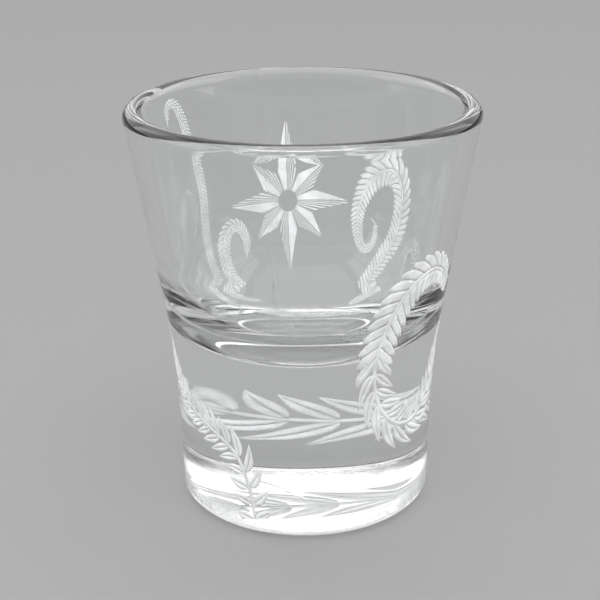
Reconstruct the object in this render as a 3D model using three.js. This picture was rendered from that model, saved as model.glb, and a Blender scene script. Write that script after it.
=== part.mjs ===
// A heavy-based tumbler-shaped shot glass, pressed in one piece of clear glass, with an ornament
// etched into its outer wall: seven curling fronds and an eight-pointed star.
//
// Millimetres, +Z up. The glass stands on z = 0 and its axis is the Z axis. Places on the outer wall are
// given as [bearing, height]: bearing 0 faces -Y, 90 faces +X and 180 is the back of the glass.
import * as THREE from "three";

// ---- The glass ----
const HEIGHT = 60;
const RIM_RADIUS = 25.4;
const LIP_THICKNESS = 2.79;
const WAIST_RADIUS = 19.8; // where the solid base ends and the wall starts to flare
const WAIST_HEIGHT = 25.5;
const BASE_RADIUS = 18.8;
const BASE_HOLLOWING = 0.2; // how far the side of the base bows in between foot and waist
const HEEL_RADIUS = 2.1; // the rounding between the foot and the side
const FOOT_INNER_RADIUS = 14.5; // the flat ring that the glass stands on starts here
const PUNT_DEPTH = 0.6; // the shallow hollow under the base
const WELL_HEIGHT = 25; // the floor of the cup, above the thick base
const WELL_DISH = 0.4;
const WELL_CORNER_RADIUS = 14;
const WALL_THICKNESS = 2.6; // at the waist
const CURVE_STEPS = 4;
const TURN_STEPS = 64;

// ---- The etching ----
// Each etched motif is a thin skin that follows the outer wall a hair's breadth off the glass.
const SKIN_GAP = 0.1;
const SKIN_THICKNESS = 0.1;
const CELL = 2.3; // the largest facet of a skin, small enough to stay clear of the curved wall

const LIP_RADIUS = LIP_THICKNESS / 2;
const LIP_HEIGHT = HEIGHT - LIP_RADIUS;

const glass = new THREE.MeshStandardMaterial({
  color: 0xf2f7f6,
  roughness: 0.03,
  metalness: 0,
  transparent: true,
  opacity: 0.35,
});
const frost = new THREE.MeshStandardMaterial({ color: 0xdcdfe2, roughness: 0.85, metalness: 0 });

// The section of the glass from the middle of its underside, round the outside, over the lip and down
// the inside to the middle of the well.
function glassSection() {
  const heelStart = BASE_RADIUS - HEEL_RADIUS;
  const innerTop = RIM_RADIUS - LIP_THICKNESS;
  const innerBottom = WAIST_RADIUS - WALL_THICKNESS;
  const cornerHeight = WELL_HEIGHT + WELL_CORNER_RADIUS;
  const down = (LIP_HEIGHT - cornerHeight) / (LIP_HEIGHT - WELL_HEIGHT);
  const cornerOuter = THREE.MathUtils.lerp(innerTop, innerBottom, down);
  const floorRadius = cornerOuter - WELL_CORNER_RADIUS;
  const bowRadius = (BASE_RADIUS + WAIST_RADIUS) / 2 - 2 * BASE_HOLLOWING;
  const bowHeight = (HEEL_RADIUS + WAIST_HEIGHT) / 2;

  const section = new THREE.Path();
  section.moveTo(0, PUNT_DEPTH);
  section.quadraticCurveTo(FOOT_INNER_RADIUS / 2, PUNT_DEPTH, FOOT_INNER_RADIUS, 0);
  section.lineTo(heelStart, 0);
  section.absarc(heelStart, HEEL_RADIUS, HEEL_RADIUS, -Math.PI / 2, 0, false);
  section.quadraticCurveTo(bowRadius, bowHeight, WAIST_RADIUS, WAIST_HEIGHT);
  section.lineTo(RIM_RADIUS, LIP_HEIGHT);
  section.absarc(RIM_RADIUS - LIP_RADIUS, LIP_HEIGHT, LIP_RADIUS, 0, Math.PI, false);
  section.lineTo(cornerOuter, cornerHeight);
  section.absarc(floorRadius, cornerHeight, WELL_CORNER_RADIUS, 0, -Math.PI / 2, true);
  section.quadraticCurveTo(floorRadius / 2, WELL_HEIGHT - WELL_DISH, 0, WELL_HEIGHT - WELL_DISH);
  return section;
}

function glassBody() {
  const geometry = new THREE.LatheGeometry(glassSection().getPoints(CURVE_STEPS), TURN_STEPS);
  geometry.rotateX(Math.PI / 2);
  return geometry;
}

// The radius of the outer wall at a height between the heel and the lip.
function wallRadius(height) {
  if (height > WAIST_HEIGHT) {
    return THREE.MathUtils.mapLinear(height, WAIST_HEIGHT, LIP_HEIGHT, WAIST_RADIUS, RIM_RADIUS);
  }
  const up = (height - HEEL_RADIUS) / (WAIST_HEIGHT - HEEL_RADIUS);
  const bow = 4 * BASE_HOLLOWING * up * (1 - up);
  return THREE.MathUtils.lerp(BASE_RADIUS, WAIST_RADIUS, up) - bow;
}

// The point at a bearing (in radians) and a height, lifted off the wall.
function onWall(bearing, height, lift) {
  const radius = wallRadius(height) + lift;
  return new THREE.Vector3(radius * Math.sin(bearing), -radius * Math.cos(bearing), height);
}

// Moves each corner of a geometry to the place that the function `place` gives for it.
function reshape(geometry, place) {
  const corners = geometry.getAttribute("position");
  const corner = new THREE.Vector3();
  for (let i = 0; i < corners.count; i += 1) {
    corner.copy(place(corner.fromBufferAttribute(corners, i)));
    corners.setXYZ(i, corner.x, corner.y, corner.z);
  }
  geometry.computeVertexNormals();
  return geometry;
}

const liftOf = (level) => SKIN_GAP + SKIN_THICKNESS * level;

// A frond: a tapering band along a smooth line through the stations [bearing, height, width].
function frond(stations) {
  const middle = (WAIST_RADIUS + RIM_RADIUS) / 2;
  const line = new THREE.CatmullRomCurve3(
    stations.map(([bearing, height]) => {
      return new THREE.Vector3(THREE.MathUtils.degToRad(bearing) * middle, height, 0);
    }),
    false,
    "centripetal",
  );
  const widths = new THREE.CatmullRomCurve3(
    stations.map(([, , width], i) => new THREE.Vector3(i, width, 0)),
    false,
    "catmullrom",
  );
  const widest = Math.max(...stations.map(([, , width]) => width));
  const along = Math.ceil(line.getLength() / (0.8 * CELL));
  const across = Math.ceil(widest / CELL);
  const place = ({ x, y, z }) => {
    const t = line.getUtoTmapping(x + 0.5);
    const at = line.getPoint(t);
    const heading = line.getTangent(t);
    const side = y * widths.getPoint(t).y;
    const bearing = (at.x - side * heading.y) / middle;
    return onWall(bearing, at.y + side * heading.x, liftOf(z + 0.5));
  };
  return reshape(new THREE.BoxGeometry(1, 1, 1, along, across, 1), place);
}

// A star with a round hole in its middle. Its points are given by their reach, the first one upright.
function star(bearing, height, { points, valley, hole }) {
  const rings = 6;
  const turns = points.length * 4;
  const reach = (angle) => {
    const place = (angle / (2 * Math.PI)) * points.length;
    const nearest = Math.round(place);
    const tip = points[(nearest + points.length) % points.length];
    return THREE.MathUtils.lerp(tip, valley, 2 * Math.abs(place - nearest));
  };
  // a square-sectioned ring whose radius runs from 0 at the hole to 1 at the outline
  const bottom = Array.from({ length: rings + 1 }, (_, i) => new THREE.Vector2(1 + i / rings, 0));
  const top = bottom.map(({ x }) => new THREE.Vector2(x, 1)).reverse();
  const ring = new THREE.LatheGeometry([...bottom, ...top, bottom[0]], turns);
  const place = ({ x, y, z }) => {
    const angle = Math.atan2(x, z);
    const radius = THREE.MathUtils.lerp(hole, reach(angle), Math.hypot(x, z) - 1);
    const aside = (radius * Math.sin(angle)) / wallRadius(height);
    const up = radius * Math.cos(angle);
    return onWall(THREE.MathUtils.degToRad(bearing) - aside, height + up, liftOf(y));
  };
  return reshape(ring, place);
}

function piece(name, geometry, material) {
  const mesh = new THREE.Mesh(geometry, material);
  mesh.name = name;
  return mesh;
}

// The frond that rises from the foot at the left of the front and curls over at the left side.
const FOOT_FROND = [
  [-23, 2.8, 7.2],
  [-25.5, 8, 7],
  [-32, 13, 6.6],
  [-46, 15.8, 6],
  [-62, 18.2, 5],
  [-78, 23.5, 4.2],
  [-94, 30, 3.6],
  [-108, 36.5, 3],
  [-116.5, 42, 2.4],
  [-121.8, 43, 1.9],
  [-124.2, 39.5, 1.4],
  [-121, 36.6, 0.9],
];
// The broad frond that hangs in a loop at the right of the front.
const LOOP_FROND = [
  [71, 33.8, 2.6],
  [63, 37.8, 4.6],
  [52, 39.4, 6.2],
  [40, 37.2, 6.8],
  [31.5, 31.5, 6.8],
  [29, 25.2, 7],
  [33, 19.8, 7.4],
  [44, 16.2, 7.8],
  [57, 16.4, 7.2],
  [68, 20, 6],
  [74.5, 25, 4.2],
  [76, 29.4, 2.4],
];
// The frond of the right side, with its tip turned back on itself.
const SIDE_FROND = [
  [88, 10, 1.6],
  [93, 17, 2.8],
  [101, 24.5, 3.6],
  [110, 31, 3.6],
  [118.5, 35.2, 2.8],
  [124.2, 33.4, 2],
  [121.8, 29, 1.2],
];
// The big volute of the back, right of the star.
const VOLUTE_FROND = [
  [153, 19.5, 2.2],
  [147, 25.5, 3.4],
  [139, 31, 3.6],
  [132, 36, 3.8],
  [130.2, 41.4, 4.4],
  [137, 45.2, 5],
  [147, 44, 4.2],
  [153.6, 39.4, 3],
  [154, 35, 2.2],
  [150.4, 32.4, 1.6],
  [145.6, 33.2, 1.2],
  [144.6, 36.4, 1],
  [148, 37.6, 0.8],
];
// The slender frond that hangs from a hook just under the rim, at the left of the back.
const HOOK_FROND = [
  [-118.5, 53.2, 1],
  [-120, 56, 1.4],
  [-124.5, 56.4, 1.8],
  [-128.5, 53.2, 2],
  [-130, 48, 2.2],
  [-130.6, 43, 2.2],
  [-129.8, 37.5, 2.2],
  [-130.4, 31.5, 2.4],
  [-132.6, 26, 2.6],
  [-136, 20.6, 2.4],
  [-142, 17.4, 1.6],
];
// The small frond between the hook and the star.
const CURL_FROND = [
  [-151, 30.6, 1.2],
  [-152.2, 33.6, 1.8],
  [-148, 36.4, 2.6],
  [-142, 35.6, 3],
  [-139.4, 32, 3],
  [-141, 27.8, 3],
  [-147, 24.6, 2.6],
  [-157, 23, 1.6],
];
// The broad frond round the back of the base.
const BASE_FROND = [
  [130, 14.5, 1.8],
  [145, 10.4, 5],
  [160, 8.9, 7.6],
  [175, 8.7, 8.8],
  [190, 9.8, 8.4],
  [200, 12.4, 6.4],
  [207.5, 16.8, 3.6],
];
const STAR = { points: [12.6, 8.8, 11.2, 8.8, 12.6, 8.8, 11.2, 8.8], valley: 4.6, hole: 1.6 };
const STAR_BEARING = 186.5;
const STAR_HEIGHT = 39.5;

const shotGlass = new THREE.Group();
shotGlass.add(
  piece("glass_body", glassBody(), glass),
  piece("etched_star", star(STAR_BEARING, STAR_HEIGHT, STAR), frost),
  piece("etched_foot_frond", frond(FOOT_FROND), frost),
  piece("etched_loop_frond", frond(LOOP_FROND), frost),
  piece("etched_side_frond", frond(SIDE_FROND), frost),
  piece("etched_volute_frond", frond(VOLUTE_FROND), frost),
  piece("etched_hook_frond", frond(HOOK_FROND), frost),
  piece("etched_curl_frond", frond(CURL_FROND), frost),
  piece("etched_base_frond", frond(BASE_FROND), frost),
);

export default shotGlass;
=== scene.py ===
"""A heavy-based shot glass: one pressed glass with fronds and a star etched into its outer wall."""
import math

import bmesh
import bpy
from mathutils import Matrix, Vector, noise
from mathutils.geometry import interpolate_bezier


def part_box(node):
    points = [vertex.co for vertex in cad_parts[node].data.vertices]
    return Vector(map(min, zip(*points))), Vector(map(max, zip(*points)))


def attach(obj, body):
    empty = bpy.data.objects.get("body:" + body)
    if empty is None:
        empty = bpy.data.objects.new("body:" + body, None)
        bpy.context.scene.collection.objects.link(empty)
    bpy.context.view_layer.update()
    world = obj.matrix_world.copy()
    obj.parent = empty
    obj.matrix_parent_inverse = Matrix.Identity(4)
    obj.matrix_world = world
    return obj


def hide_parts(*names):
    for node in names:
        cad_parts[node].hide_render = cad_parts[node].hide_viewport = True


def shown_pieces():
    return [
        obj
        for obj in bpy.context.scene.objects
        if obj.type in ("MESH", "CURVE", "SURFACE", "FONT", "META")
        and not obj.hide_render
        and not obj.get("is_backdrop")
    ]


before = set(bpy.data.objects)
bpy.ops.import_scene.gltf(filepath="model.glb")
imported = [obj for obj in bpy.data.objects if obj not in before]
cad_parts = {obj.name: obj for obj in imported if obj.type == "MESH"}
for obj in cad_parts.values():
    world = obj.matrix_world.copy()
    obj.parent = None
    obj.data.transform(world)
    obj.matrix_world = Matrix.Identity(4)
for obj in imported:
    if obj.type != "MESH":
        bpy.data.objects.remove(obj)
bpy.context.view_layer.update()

# ---- Glass ----
# The glass itself: soda-lime glass, pressed in a mould from one gob, so that the solid base, the flared
# wall and the round-bottomed well are one piece. The lip is fire-polished to a full round.
MM = 0.001
GLASS_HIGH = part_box("glass_body")[1]
HEIGHT = GLASS_HIGH[2]
RIM_RADIUS = GLASS_HIGH[0]
LIP_RADIUS = 1.395 * MM
WAIST_RADIUS = 19.8 * MM
WAIST_HEIGHT = 25.5 * MM
BASE_RADIUS = 18.8 * MM
BASE_HOLLOWING = 0.2 * MM
HEEL_RADIUS = 2.1 * MM
FOOT_INNER_RADIUS = 14.5 * MM
PUNT_DEPTH = 0.6 * MM
WELL_HEIGHT = 25 * MM
WELL_DISH = 0.4 * MM
WELL_CORNER_RADIUS = 14 * MM
WALL_THICKNESS = 2.6 * MM
LIP_HEIGHT = HEIGHT - LIP_RADIUS
TURN_STEPS = 192
TOUCHING = 0.001 * MM  # corners closer than this are one
RIPPLE = 0.04 * MM  # how far the unevenness of a pressed wall goes into the glass
RIPPLE_SIZE = 8 * MM


def between(start, end, share):
    return start + (end - start) * share


def wall_radius(height):
    """The radius of the outer wall at a height between the heel and the lip."""
    if height > WAIST_HEIGHT:
        return between(WAIST_RADIUS, RIM_RADIUS, (height - WAIST_HEIGHT) / (LIP_HEIGHT - WAIST_HEIGHT))
    up = (height - HEEL_RADIUS) / (WAIST_HEIGHT - HEEL_RADIUS)
    return between(BASE_RADIUS, WAIST_RADIUS, up) - 4 * BASE_HOLLOWING * up * (1 - up)


def arc(radius, height, size, start, end, steps):
    """Points (radius, height) along an arc round a centre in the glass's section, angles in degrees."""
    turns = [math.radians(between(start, end, i / steps)) for i in range(steps + 1)]
    return [(radius + size * math.cos(turn), height + size * math.sin(turn)) for turn in turns]


def run(start, end, steps, bow=lambda share: (0, 0)):
    """Points from start to end, without either, pushed aside by a bow."""
    points = []
    for i in range(1, steps):
        share = i / steps
        aside, up = bow(share)
        points.append((between(start[0], end[0], share) + aside, between(start[1], end[1], share) + up))
    return points


def glass_section():
    """The glass's outline from the middle of its underside, up the outside and down into the well."""
    inner_top = (RIM_RADIUS - 2 * LIP_RADIUS, LIP_HEIGHT)
    inner_bottom = WAIST_RADIUS - WALL_THICKNESS
    corner_height = WELL_HEIGHT + WELL_CORNER_RADIUS
    share_down = (LIP_HEIGHT - corner_height) / (LIP_HEIGHT - WELL_HEIGHT)
    corner_outer = between(inner_top[0], inner_bottom, share_down)
    floor_radius = corner_outer - WELL_CORNER_RADIUS
    heel = arc(BASE_RADIUS - HEEL_RADIUS, HEEL_RADIUS, HEEL_RADIUS, -90, 0, 12)
    lip = arc(RIM_RADIUS - LIP_RADIUS, LIP_HEIGHT, LIP_RADIUS, 0, 180, 24)
    corner = arc(floor_radius, corner_height, WELL_CORNER_RADIUS, 0, -90, 32)
    punt_edge = (FOOT_INNER_RADIUS, 0)
    waist = (WAIST_RADIUS, WAIST_HEIGHT)
    return [
        (0, PUNT_DEPTH),
        *run((0, 0), punt_edge, 16, lambda share: (0, PUNT_DEPTH * (1 - share ** 2))),
        punt_edge,
        *run(punt_edge, heel[0], 3),
        *heel,
        *run(heel[-1], waist, 24, lambda share: (-4 * BASE_HOLLOWING * share * (1 - share), 0)),
        waist,
        *run(waist, lip[0], 36),
        *lip,
        *run(lip[-1], corner[0], 20),
        *corner,
        *run(corner[-1], (0, WELL_HEIGHT), 10, lambda share: (0, -WELL_DISH * (1 - (1 - share) ** 2))),
        (0, WELL_HEIGHT - WELL_DISH),
    ]


def finished(name, shape, material, replaced):
    """Makes a bmesh into a piece of the glass, in place of a CAD node."""
    mesh = bpy.data.meshes.new(name)
    shape.to_mesh(mesh)
    shape.free()
    mesh.shade_smooth()
    mesh.materials.append(material)
    piece = bpy.data.objects.new(name, mesh)
    bpy.context.scene.collection.objects.link(piece)
    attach(piece, "root")
    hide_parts(replaced)
    return piece


def glass_shape():
    """The section spun round the axis, and its surface made a little uneven, always into the glass."""
    shape = bmesh.new()
    corners = [shape.verts.new((radius, 0, height)) for radius, height in glass_section()]
    edges = [shape.edges.new(pair) for pair in zip(corners, corners[1:])]
    bmesh.ops.spin(shape, geom=corners + edges, cent=(0, 0, 0), axis=(0, 0, 1), dvec=(0, 0, 0),
                   angle=2 * math.pi, steps=TURN_STEPS, use_merge=True, use_duplicate=False)
    bmesh.ops.remove_doubles(shape, verts=shape.verts, dist=TOUCHING)
    bmesh.ops.recalc_face_normals(shape, faces=shape.faces)
    shape.normal_update()
    for vertex in shape.verts:
        depth = RIPPLE * (1 + noise.noise(vertex.co / RIPPLE_SIZE)) / 2
        vertex.co -= depth * vertex.normal
    return shape


def node(tree, kind, output, inputs, **settings):
    """Adds a shader node, its inputs given as values or as other nodes' outputs, and gives its output."""
    made = tree.nodes.new(kind)
    for name, value in settings.items():
        setattr(made, name, value)
    for name, value in inputs.items():
        if isinstance(value, bpy.types.NodeSocket):
            tree.links.new(value, made.inputs[name])
        else:
            made.inputs[name].default_value = value
    return made.outputs[output]


def ramp(tree, value, start, end, low, high):
    """A value mapped smoothly from start..end to low..high."""
    inputs = {"Value": value, "From Min": start, "From Max": end, "To Min": low, "To Max": high}
    return node(tree, "ShaderNodeMapRange", "Result", inputs, interpolation_type="SMOOTHSTEP")


def combined(tree, operation, first, second=0.0):
    """Two values combined by an arithmetic operation."""
    return node(tree, "ShaderNodeMath", 0, {0: first, 1: second}, operation=operation)


def speckle(tree, spot, size, detail=2.0):
    """Noise, mostly between 0.3 and 0.7, with features of a size in metres."""
    return node(tree, "ShaderNodeTexNoise", "Fac", {"Vector": spot, "Scale": 1 / size, "Detail": detail})


SEAM_BEARING = math.radians(197)
SEAM_WIDTH = 0.3 * MM
SEAM_HEIGHT = 0.2 * MM
SMUDGE_SIZE = 9 * MM
SMUDGE_ROUGHNESS = 0.12
SCRATCH_SIZE = 0.5 * MM
SCUFF_ROUGHNESS = 0.4
SCUFFED_BELOW = 0.1 * MM
CLEAN_ABOVE = 0.4 * MM


def clear_glass():
    """Clear glass with faint smudges, a mould seam up its back and a foot ring scuffed by use."""
    material = bpy.data.materials.new("clear glass")
    material.use_nodes = True
    tree = material.node_tree
    shader = tree.nodes["Principled BSDF"]
    spot = node(tree, "ShaderNodeTexCoord", "Object", {})
    smudge = ramp(tree, speckle(tree, spot, SMUDGE_SIZE, 4), 0.54, 0.7, 0, SMUDGE_ROUGHNESS)
    height = node(tree, "ShaderNodeSeparateXYZ", "Z", {"Vector": spot})
    foot = ramp(tree, height, SCUFFED_BELOW, CLEAN_ABOVE, SCUFF_ROUGHNESS, 0)
    scratches = ramp(tree, speckle(tree, spot, SCRATCH_SIZE), 0.35, 0.65, 0.4, 1)
    scuff = combined(tree, "MULTIPLY", foot, scratches)
    tree.links.new(combined(tree, "MAXIMUM", smudge, scuff), shader.inputs["Roughness"])
    turned = node(tree, "ShaderNodeMapping", "Vector", {"Vector": spot, "Rotation": (0, 0, -SEAM_BEARING)})
    aside = combined(tree, "ABSOLUTE", node(tree, "ShaderNodeSeparateXYZ", "X", {"Vector": turned}))
    ahead = node(tree, "ShaderNodeSeparateXYZ", "Y", {"Vector": turned})
    ridge = ramp(tree, aside, 0, SEAM_WIDTH, 1, 0)
    seam = combined(tree, "MULTIPLY", ridge, combined(tree, "LESS_THAN", ahead))
    bump = {"Height": seam, "Strength": 0.5, "Distance": SEAM_HEIGHT}
    tree.links.new(node(tree, "ShaderNodeBump", "Normal", bump), shader.inputs["Normal"])
    shader.inputs["Base Color"].default_value = (0.985, 0.995, 0.99, 1)
    shader.inputs["IOR"].default_value = 1.52
    shader.inputs["Transmission Weight"].default_value = 1.0
    return material


finished("glass", glass_shape(), clear_glass(), "glass_body")

# ---- Etched fronds ----
# Matt white ornament eaten into the outer wall through a stencil: curling fronds, each with a midrib and
# a row of leaflets or of solid lobes on each side of it. The frost stands a hair proud of the wall and
# reaches a little into it, so that it shows from outside and through the glass.
ETCH_LIFT = 0.015 * MM
ETCH_DEPTH = 0.07 * MM
CLEARING = 0.2 * MM  # between the midrib's middle and what grows from it
LEAST_WIDTH = 0.95 * MM  # a frond narrower than this is a bare midrib
BLUNT = 2 * MM  # the length over which a frond's ends are rounded off
STEP = 0.35 * MM
BEND_STEPS = 40
MERGED = 0.005 * MM  # corners this close, as at a leaflet's tip, become one
MIDDLE_RADIUS = (WAIST_RADIUS + RIM_RADIUS) / 2


def on_wall(aside, height):
    """The point just off the outer wall at a distance aside of the front, unrolled at the middle radius."""
    bearing = aside / MIDDLE_RADIUS
    radius = wall_radius(height) + ETCH_LIFT
    return Vector((radius * math.sin(bearing), -radius * math.cos(bearing), height))


class Frond:
    """A smooth tapering band through stations (bearing in degrees, height and width in mm)."""

    def __init__(self, stations):
        knots = [Vector((math.radians(bearing) * MIDDLE_RADIUS, height * MM, width * MM))
                 for bearing, height, width in stations]
        ahead = [after - before for before, after in zip(knots[:1] + knots, knots[1:] + knots[-1:])]
        line = []
        for start, end, leaving, arriving in zip(knots, knots[1:], ahead, ahead[1:]):
            reach = (end - start).length / 3
            bend = (start, start + leaving.normalized() * reach, end - arriving.normalized() * reach, end)
            line += interpolate_bezier(*bend, BEND_STEPS)[:-1]
        line.append(knots[-1])
        steps = [(b.xy - a.xy).length for a, b in zip(line, line[1:])]
        self.length = sum(steps)
        self.knots = []
        gone = 0
        count = 4 * round(self.length / STEP)
        for i in range(count + 1):
            goal = self.length * i / count
            while len(steps) > 1 and gone + steps[0] < goal:
                gone += steps.pop(0)
                line.pop(0)
            self.knots.append(line[0].lerp(line[1], min(1, (goal - gone) / steps[0])))

    def at(self, along):
        """The band's middle (aside, height, width) at a distance along it."""
        place = max(0, min(0.99999, along / self.length)) * (len(self.knots) - 1)
        first = int(place)
        return self.knots[first].lerp(self.knots[first + 1], place - first)

    def width(self, along):
        """The band's width, with both of its ends rounded off."""
        near = min(along, self.length - along) / BLUNT
        return self.at(along).z * (math.sqrt(1 - (1 - near) ** 2) if near < 1 else 1)

    def point(self, along, side):
        """The wall's point at a distance along the band and to its left."""
        here = self.at(along)
        heading = (self.at(along + STEP / 2) - self.at(along - STEP / 2)).xy.normalized()
        return on_wall(here.x - side * heading.y, here.y + side * heading.x)


def patch(shape, along, across, place):
    """A grid of faces, with each corner (a, b), both from -1 to 1, moved to place(a, b)."""
    made = bmesh.ops.create_grid(shape, x_segments=along, y_segments=across, size=1)
    for corner in made["verts"]:
        corner.co = place(corner.co.x, corner.co.y)
    bmesh.ops.remove_doubles(shape, verts=made["verts"], dist=MERGED)


def midrib(shape, frond):
    """A line along the middle of a frond, tapering with it."""
    def place(a, b):
        along = frond.length * (a + 1) / 2
        width = min(0.07 * frond.width(along) + 0.16 * MM, 0.8 * frond.width(along))
        return frond.point(along, b * width / 2)
    patch(shape, round(frond.length / STEP), 1, place)


def leaflet(shape, frond, root, side, length, width, lean):
    """A pointed leaflet from the midrib to the band's edge, in two halves with a clear vein between."""
    turn = math.radians(lean)
    vein = min(0.06 * MM, 0.12 * width)
    for half in (-1, 1):
        def place(a, b):
            out = (a + 1) / 2
            x = out * length
            swell = math.sin(math.pi * out ** 0.75)
            y = half * between(vein, width / 2, (b + 1) / 2) * swell
            along = root + x * math.cos(turn) - y * math.sin(turn) + 0.12 * length * out ** 2
            across = CLEARING + x * math.sin(turn) + y * math.cos(turn)
            return frond.point(along, side * across)
        patch(shape, 8, 2, place)


LOBE_VEIN = 0.16 * MM
LOBE_LEAN = 0.7  # how far a lobe's edge runs ahead of its root, for each unit across
LOBE_PITCH = 0.26  # of the frond's width
LEAST_LOBE_PITCH = 0.5 * MM


def lobe(shape, frond, root, side, pitch):
    """A blunt lobe of a solid frond, parted from the next one by a clear slanting vein."""
    def place(a, b):
        along = root + (a + 1) / 2 * (pitch - LOBE_VEIN)
        edge = frond.width(along) / 2 * (1 - 0.22 * a * a)
        across = between(CLEARING, edge, (b + 1) / 2)
        return frond.point(along + across * LOBE_LEAN, side * across)
    patch(shape, 4, 4, place)


ROOT_LEAN = 76  # degrees between a leaflet and the midrib at the frond's root
LEAN = 44
LEAFLET_WIDTH = 0.23  # of the frond's width, as is the pitch
LEAFLET_PITCH = 0.36
LEAST_LEAFLET_PITCH = 0.45 * MM


def leafy(shape, frond, side, start, end):
    """A row of leaflets on one side, spreading widest at the frond's root."""
    along = start * frond.length
    while along < end * frond.length:
        room = frond.width(along + 0.3 * frond.at(along).z)
        lean = between(ROOT_LEAN, LEAN, min(1, along / (1.4 * frond.at(0).z)))
        if room > LEAST_WIDTH:
            length = (room / 2 - CLEARING) / math.sin(math.radians(lean))
            leaflet(shape, frond, along, side, length, LEAFLET_WIDTH * room, lean)
        along += max(LEAFLET_PITCH * room, LEAST_LEAFLET_PITCH)


def lobed(shape, frond, side, start, end):
    """A row of lobes on one side."""
    along = start * frond.length
    while along < end * frond.length:
        room = frond.width(along)
        pitch = max(LOBE_PITCH * room, LEAST_LOBE_PITCH)
        if room > LEAST_WIDTH:
            lobe(shape, frond, along, side, pitch)
        along += pitch


def face_out(shape):
    """Turns round the faces that look towards the axis."""
    shape.normal_update()
    inward = [face for face in shape.faces if face.normal.xy.dot(face.calc_center_median().xy) < 0]
    bmesh.ops.reverse_faces(shape, faces=inward)


def etched(name, shape, replaced):
    """Makes a flat pattern on the wall into a frosted piece with a little depth."""
    face_out(shape)
    piece = finished(name, shape, white_frost, replaced)
    skin = piece.modifiers.new("depth", "SOLIDIFY")
    skin.thickness = ETCH_DEPTH
    skin.offset = -1


GRAIN_SIZE = 0.12 * MM
GRAIN_DEPTH = 0.02 * MM
CLOUD_SIZE = 2.5 * MM


def frosted():
    """Matt white frost, finely grained and a little uneven from the acid."""
    material = bpy.data.materials.new("etched frost")
    material.use_nodes = True
    tree = material.node_tree
    shader = tree.nodes["Principled BSDF"]
    spot = node(tree, "ShaderNodeTexCoord", "Object", {})
    grain = speckle(tree, spot, GRAIN_SIZE)
    cloud = speckle(tree, spot, CLOUD_SIZE, 4)
    grained = ramp(tree, grain, 0.3, 0.7, 0.86, 1)
    clouded = ramp(tree, cloud, 0.3, 0.7, 0.88, 1)
    pale = combined(tree, "MULTIPLY", grained, clouded)
    white = {"Vector": (0.94, 0.95, 0.96), "Scale": pale}
    colour = node(tree, "ShaderNodeVectorMath", "Vector", white, operation="SCALE")
    tree.links.new(colour, shader.inputs["Base Color"])
    tree.links.new(ramp(tree, cloud, 0.3, 0.7, 0.85, 0.98), shader.inputs["Alpha"])
    tree.links.new(ramp(tree, grain, 0.3, 0.7, 0.6, 0.85), shader.inputs["Roughness"])
    bump = {"Height": grain, "Strength": 0.4, "Distance": GRAIN_DEPTH}
    tree.links.new(node(tree, "ShaderNodeBump", "Normal", bump), shader.inputs["Normal"])
    return material


white_frost = frosted()

# stations along each frond: bearing in degrees, height and width in mm
FRONDS = {
    "foot": [(-23, 2.8, 7.2), (-25.5, 8, 7), (-32, 13, 6.6), (-46, 15.8, 6), (-62, 18.2, 5),
             (-78, 23.5, 4.2), (-94, 30, 3.6), (-108, 36.5, 3), (-116.5, 42, 2.4), (-121.8, 43, 1.9),
             (-124.2, 39.5, 1.4), (-121, 36.6, 0.9)],
    "loop": [(71, 33.8, 2.6), (63, 37.8, 4.6), (52, 39.4, 6.2), (40, 37.2, 6.8), (31.5, 31.5, 6.8),
             (29, 25.2, 7), (33, 19.8, 7.4), (44, 16.2, 7.8), (57, 16.4, 7.2), (68, 20, 6),
             (74.5, 25, 4.2), (76, 29.4, 2.4)],
    "side": [(88, 10, 1.6), (93, 17, 2.8), (101, 24.5, 3.6), (110, 31, 3.6), (118.5, 35.2, 2.8),
             (124.2, 33.4, 2), (121.8, 29, 1.2)],
    "volute": [(153, 19.5, 2.2), (147, 25.5, 3.4), (139, 31, 3.6), (132, 36, 3.8), (130.2, 41.4, 4.4),
               (137, 45.2, 5), (147, 44, 4.2), (153.6, 39.4, 3), (154, 35, 2.2), (150.4, 32.4, 1.6),
               (145.6, 33.2, 1.2), (144.6, 36.4, 1), (148, 37.6, 0.8)],
    "hook": [(-118.5, 53.2, 1), (-120, 56, 1.4), (-124.5, 56.4, 1.8), (-128.5, 53.2, 2),
             (-130, 48, 2.2), (-130.6, 43, 2.2), (-129.8, 37.5, 2.2), (-130.4, 31.5, 2.4),
             (-132.6, 26, 2.6), (-136, 20.6, 2.4), (-142, 17.4, 1.6)],
    "curl": [(-151, 30.6, 1.2), (-152.2, 33.6, 1.8), (-148, 36.4, 2.6), (-142, 35.6, 3),
             (-139.4, 32, 3), (-141, 27.8, 3), (-147, 24.6, 2.6), (-157, 23, 1.6)],
    "base": [(130, 14.5, 1.8), (145, 10.4, 5), (160, 8.9, 7.6), (175, 8.7, 8.8), (190, 9.8, 8.4),
             (200, 12.4, 6.4), (207.5, 16.8, 3.6)],
}
SOLID_SHARE = {"volute": 1, "curl": 1, "hook": 1, "loop": 0.42}  # how much of a frond is solid lobes
LAST_SHARE = 0.96  # beyond this the midrib runs on alone
for place, stations in FRONDS.items():
    frond = Frond(stations)
    shape = bmesh.new()
    midrib(shape, frond)
    solid = SOLID_SHARE.get(place, 0)
    for side in (-1, 1):
        lobed(shape, frond, side, 0, min(solid, LAST_SHARE))
        leafy(shape, frond, side, solid, LAST_SHARE)
    etched(f"{place}_frond", shape, f"etched_{place}_frond")

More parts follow.
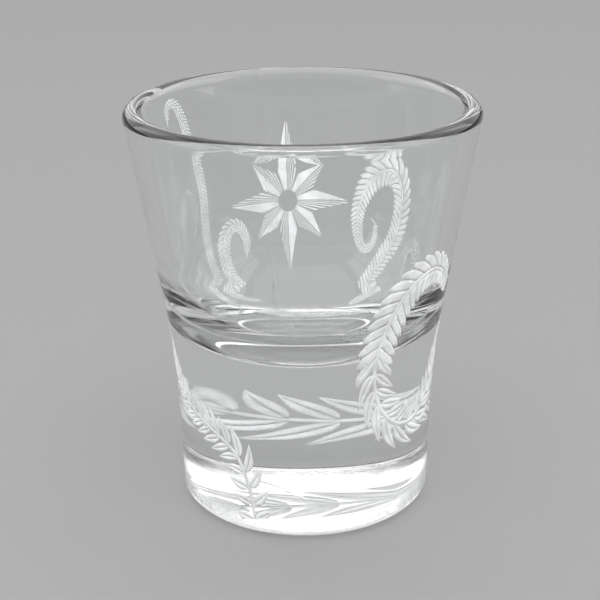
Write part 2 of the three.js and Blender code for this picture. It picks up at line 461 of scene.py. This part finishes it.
# ---- Etched star ----
# The plain emblem at the back of the wall, etched through the same stencil: eight points alternately
# long and short round an open hub, each with one half solid and the other hatched.
STAR_ASIDE = math.radians(186.5) * MIDDLE_RADIUS
STAR_HEIGHT = 39.5 * MM
STAR_REACH = [12.4, 8.6, 11, 8.6, 12.4, 8.6, 11, 8.6]  # mm, from the upright point round
VALLEY = 4.5 * MM
HOLE = 1.7 * MM
FACET_START = 0.06  # places across a facet, from the point's middle line at 0 to the valley at 1
FACET_END = 0.96
HATCH_LINES = 5
HATCH_PITCH = 0.19
HATCH_WIDTH = 0.1


def star_point(radius, angle):
    """The point just off the wall at a distance and angle from the star's middle."""
    stretch = MIDDLE_RADIUS / wall_radius(STAR_HEIGHT)
    return on_wall(STAR_ASIDE + stretch * radius * math.sin(angle), STAR_HEIGHT + radius * math.cos(angle))


def facet_strip(shape, angle, reach, half, low, high, across):
    """A strip of half a point of the star, from the hub outwards, between two places across it."""
    valley_angle = angle + half * math.pi / len(STAR_REACH)
    middle = Vector((math.sin(angle), math.cos(angle)))
    side = Vector((math.sin(valley_angle), math.cos(valley_angle)))

    def place(a, b):
        out = (a + 1) / 2
        inner_edge = middle * between(HOLE, reach, out)
        outer_edge = side * between(HOLE, VALLEY, out)
        spot = inner_edge.lerp(outer_edge, between(low, high, (b + 1) / 2))
        return star_point(spot.length, math.atan2(spot.x, spot.y))
    patch(shape, 16, across, place)


star = bmesh.new()
for i, reach in enumerate(STAR_REACH):
    angle = 2 * math.pi * i / len(STAR_REACH)
    for line in range(HATCH_LINES):
        low = FACET_START + line * HATCH_PITCH
        facet_strip(star, angle, reach * MM, -1, low, low + HATCH_WIDTH, 1)
    facet_strip(star, angle, reach * MM, 1, FACET_START, FACET_END, 6)
etched("star", star, "etched_star")

# ---- Setting ----
# A wide pale floor under an even grey surround, soft boxes above, behind and on both sides, and the
# camera. Some lights shine only on the glass or on its etching, so that clear glass keeps bright edges
# and a readable etching on a floor that isn't much darker than either.
FLOOR_RADIUS = 4.4
FLOOR_HEIGHT = -0.05 * MM
FLOOR_COLOUR = (0.55, 0.55, 0.555, 1)

floor_shape = bmesh.new()
bmesh.ops.create_circle(floor_shape, cap_ends=True, radius=FLOOR_RADIUS, segments=64)
floor_mesh = bpy.data.meshes.new("floor")
floor_shape.to_mesh(floor_mesh)
floor_shape.free()
paper = bpy.data.materials.new("floor")
paper.use_nodes = True
paper_shader = paper.node_tree.nodes["Principled BSDF"]
paper_shader.inputs["Base Color"].default_value = FLOOR_COLOUR
paper_shader.inputs["Roughness"].default_value = 0.6
floor_mesh.materials.append(paper)
floor = bpy.data.objects.new("floor", floor_mesh)
floor.location.z = FLOOR_HEIGHT
bpy.context.scene.collection.objects.link(floor)
floor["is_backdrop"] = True

world = bpy.data.worlds.new("studio")
bpy.context.scene.world = world
world.use_nodes = True
surround = world.node_tree
background = surround.nodes["Background"]
background.inputs["Color"].default_value = (1, 1, 1, 1)
# seen directly, the surround is about as light as the far floor; in the glass it is darker
seen = node(surround, "ShaderNodeLightPath", "Is Camera Ray", {})
tone = node(surround, "ShaderNodeMapRange", "Result", {"Value": seen, "To Min": 0.2, "To Max": 0.3})
surround.links.new(tone, background.inputs["Strength"])


def gathered(name, chosen):
    """A collection of pieces, for lights that shine on those pieces only."""
    group = bpy.data.collections.new(name)
    for piece in chosen:
        group.objects.link(piece)
    return group


glassware = gathered("glassware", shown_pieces())
etching = gathered("etching", [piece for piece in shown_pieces() if piece.name != "glass"])
far_names = ("star", "volute_frond", "curl_frond", "hook_frond", "base_frond")
far_etching = gathered("far etching", [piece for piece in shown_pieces() if piece.name in far_names])


def soft_box(name, place, aim, width, depth, brightness, only_on=None):
    """A soft box of a given size and brightness, which may shine on some pieces only."""
    light = bpy.data.lights.new(name, "AREA")
    light.shape = "RECTANGLE"
    light.size = width
    light.size_y = depth
    light.energy = math.pi * width * depth * brightness
    lamp = bpy.data.objects.new(name, light)
    lamp.location = place
    lamp.rotation_euler = (Vector(aim) - Vector(place)).to_track_quat("-Z", "Y").to_euler()
    lamp.visible_camera = False
    bpy.context.scene.collection.objects.link(lamp)
    if only_on:
        lamp.light_linking.receiver_collection = only_on
    if only_on in (etching, far_etching):
        lamp.light_linking.blocker_collection = only_on


soft_box("top box", (0, 0, 1.0), (0, 0, 0), 1.2, 1.2, 0.8)
soft_box("back box", (0, 0.75, 0.5), (0, 0, 0.03), 2.4, 0.8, 0.95, glassware)
soft_box("over box", (0, 0, 0.5), (0, 0, 0.03), 1.6, 1.4, 0.6, glassware)
for side, hand in ((-1, "left"), (1, "right")):
    soft_box(f"{hand} box", (0.8 * side, 0.1, 0.5), (0, 0, 0.1), 1.2, 0.8, 1.5, glassware)
    soft_box(f"{hand} key", (0.3 * side, -0.35, 0.2), (0, 0, 0.03), 0.3, 0.3, 3, etching)
soft_box("back key", (0.1, 0.45, 0.3), (0, 0, 0.03), 0.3, 0.3, 3, etching)
soft_box("inner key", (0, -0.4, 0.35), (0, 0.02, 0.04), 0.3, 0.3, 5, far_etching)

# an even, very soft wash on the floor alone, so that it keeps its tone as far as it goes
wash = bpy.data.lights.new("floor wash", "SUN")
wash.energy = 1.1
wash.angle = math.radians(120)
wash_lamp = bpy.data.objects.new("floor wash", wash)
bpy.context.scene.collection.objects.link(wash_lamp)
wash_lamp.light_linking.receiver_collection = gathered("stage", [floor])

view = bpy.context.scene.view_settings
view.view_transform = "Standard"
bpy.context.scene.cycles.max_bounces = 24
bpy.context.scene.cycles.transmission_bounces = 24

# the camera, in front of the glass and looking down on it by 21 degrees
DISTANCE = 8.177 * RIM_RADIUS
ELEVATION = 0.3674  # radians, as is the tilt
AIM_HEIGHT = 1.18 * RIM_RADIUS
ASIDE = -0.0233 * RIM_RADIUS
TILT = 0.0095
lens = bpy.data.cameras.new("camera")
lens.sensor_width = 36
lens.lens = 83.79
lens.clip_start = 0.01
camera = bpy.data.objects.new("camera", lens)
bpy.context.scene.collection.objects.link(camera)
bpy.context.scene.camera = camera
eye = Vector((0, -DISTANCE * math.cos(ELEVATION), DISTANCE * math.sin(ELEVATION) + AIM_HEIGHT))
look = (Vector((0, 0, AIM_HEIGHT)) - eye).to_track_quat("-Z", "Y").to_matrix().to_4x4()
stand = Matrix.Translation(eye + Vector((ASIDE, 0, 0)))
camera.matrix_world = stand @ look @ Matrix.Rotation(-TILT, 4, "Z")
